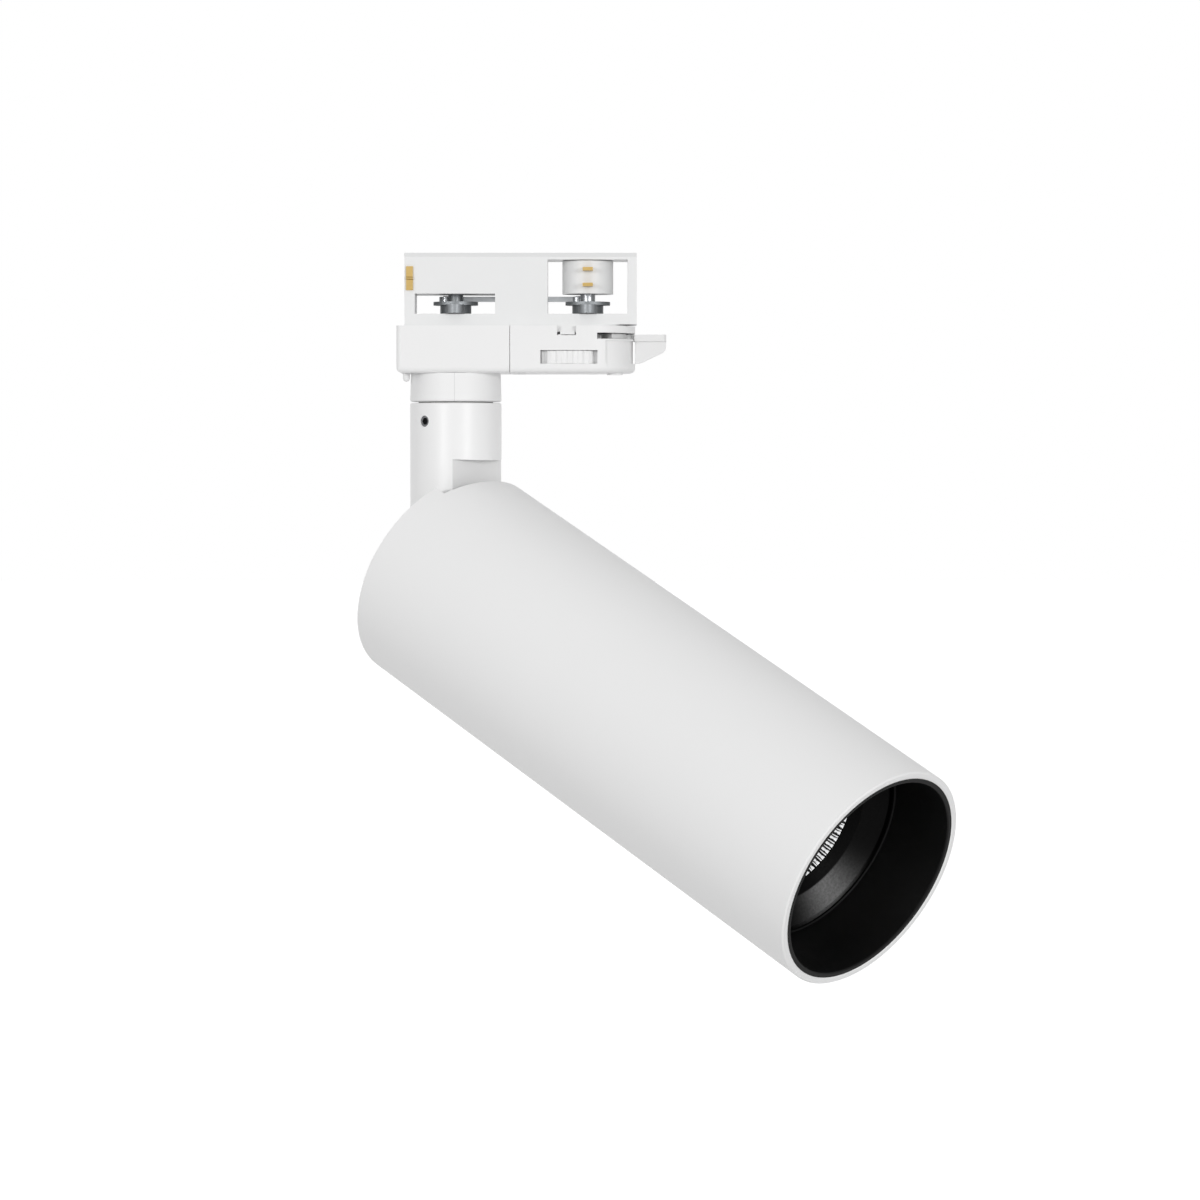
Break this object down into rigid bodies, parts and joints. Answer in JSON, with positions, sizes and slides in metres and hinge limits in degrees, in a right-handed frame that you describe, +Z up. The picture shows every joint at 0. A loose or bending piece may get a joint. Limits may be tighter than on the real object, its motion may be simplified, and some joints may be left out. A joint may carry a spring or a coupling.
{
  "type": "track spotlight",
  "caption": "Cylindrical spotlight with a recessed black snoot, tilting and panning on a round stem under a plug-in adapter that locks into a lighting track with a lever.",
  "frame": {"origin": "on the swivel (pan) axis, in the plane where the adapter's flange seats against the track's underside", "axes": "+Z up into the track, +X along the track towards the lock lever, -Y towards the side the lever swings to; the lamp is stored as pictured, turned 41.5 degrees from +X towards -Y and dipped 26.8 degrees"},
  "size_m": [0.17, 0.1602, 0.2055],
  "materials": {
    "adapter_plastic": "satin",
    "white_coat": "satin",
    "black_coat": "matte",
    "zinc_steel": "satin",
    "dark_steel": "satin",
    "washer_polymer": "matte",
    "contact_brass": "satin",
    "terminal_grey": "matte",
    "terminal_white": "satin",
    "lead_sheath": "satin",
    "phase_board": "satin",
    "bare_aluminium": "satin",
    "black_anodised": "matte",
    "phosphor": "satin",
    "reflector_mirror": "polished"
  },
  "bodies": {
    "adapter": {"swivel_cover": "adapter_plastic", "adapter_housing": "adapter_plastic", "track_insert": "adapter_plastic", "insert_lid": "adapter_plastic", "earth_contacts": "contact_brass", "terminal_block": "terminal_grey", "adapter_leads": "lead_sheath", "phase_plate": "phase_board", "cover_screws": "zinc_steel", "swivel_spigot": "zinc_steel", "spigot_nut": "zinc_steel", "spigot_washer": "zinc_steel", "swivel_collar": "white_coat"},
    "lever": {"lock_lever": "adapter_plastic", "lock_shaft": "zinc_steel", "lever_cam": "zinc_steel", "contact_rotor": "adapter_plastic", "phase_contacts": "contact_brass", "neutral_contact": "contact_brass", "lever_screw": "zinc_steel"},
    "link": {"link_rod": "zinc_steel"},
    "rear_lock": {"rear_cam": "zinc_steel"},
    "selector": {"selector_wheel": "adapter_plastic", "selector_wiper": "contact_brass"},
    "stem": {"stem": "white_coat", "grub_screw": "dark_steel", "pan_washer": "washer_polymer", "tilt_screws": "zinc_steel", "tilt_washers": "washer_polymer", "stem_leads": "lead_sheath"},
    "lamp": {"lamp_tube": "white_coat", "rear_cap": "white_coat", "tilt_bracket": "zinc_steel", "bracket_screws": "zinc_steel", "chassis": "bare_aluminium", "driver_case": "terminal_grey", "driver_terminals": "terminal_white", "head_leads": "lead_sheath", "heat_sink": "black_anodised", "led_board": "bare_aluminium", "led_emitter": "phosphor", "led_holder": "terminal_white", "holder_screws": "zinc_steel", "led_leads": "lead_sheath", "reflector": "reflector_mirror", "cone_ring": "black_coat", "snoot": "black_coat"}
  },
  "joints": [
    {"name": "pan", "type": "hinge", "parent": "adapter", "child": "stem", "pos_m": [0, 0, -0.0275], "axis": [0, 0, 1], "range_deg": [-121, 204]},
    {"name": "tilt", "type": "hinge", "parent": "stem", "child": "lamp", "pos_m": [0, 0, -0.07595], "axis": [-0.6626, -0.749, 0], "range_deg": [-63.2, 8.2]},
    {"name": "lever_turn", "type": "hinge", "parent": "adapter", "child": "lever", "pos_m": [0.039, 0, 0], "axis": [0, 0, -1], "range_deg": [0, 66]},
    {"name": "rear_lock_turn", "type": "hinge", "parent": "adapter", "child": "rear_lock", "pos_m": [0, 0, 0], "axis": [0, 0, -1], "range_deg": [0, 66]},
    {"name": "link_swing", "type": "hinge", "parent": "lever", "child": "link", "pos_m": [0.03613, 0.0041, 0], "axis": [0, 0, -1], "range_deg": [-66, 0]},
    {"name": "selector_turn", "type": "hinge", "parent": "adapter", "child": "selector", "pos_m": [0.0335, 0, 0], "axis": [0, 0, 1], "range_deg": [-40, 40]}
  ],
  "couplings": [
    {"joint": "rear_lock_turn", "follows": "lever_turn", "ratio": 1},
    {"joint": "link_swing", "follows": "lever_turn", "ratio": -1}
  ]
}
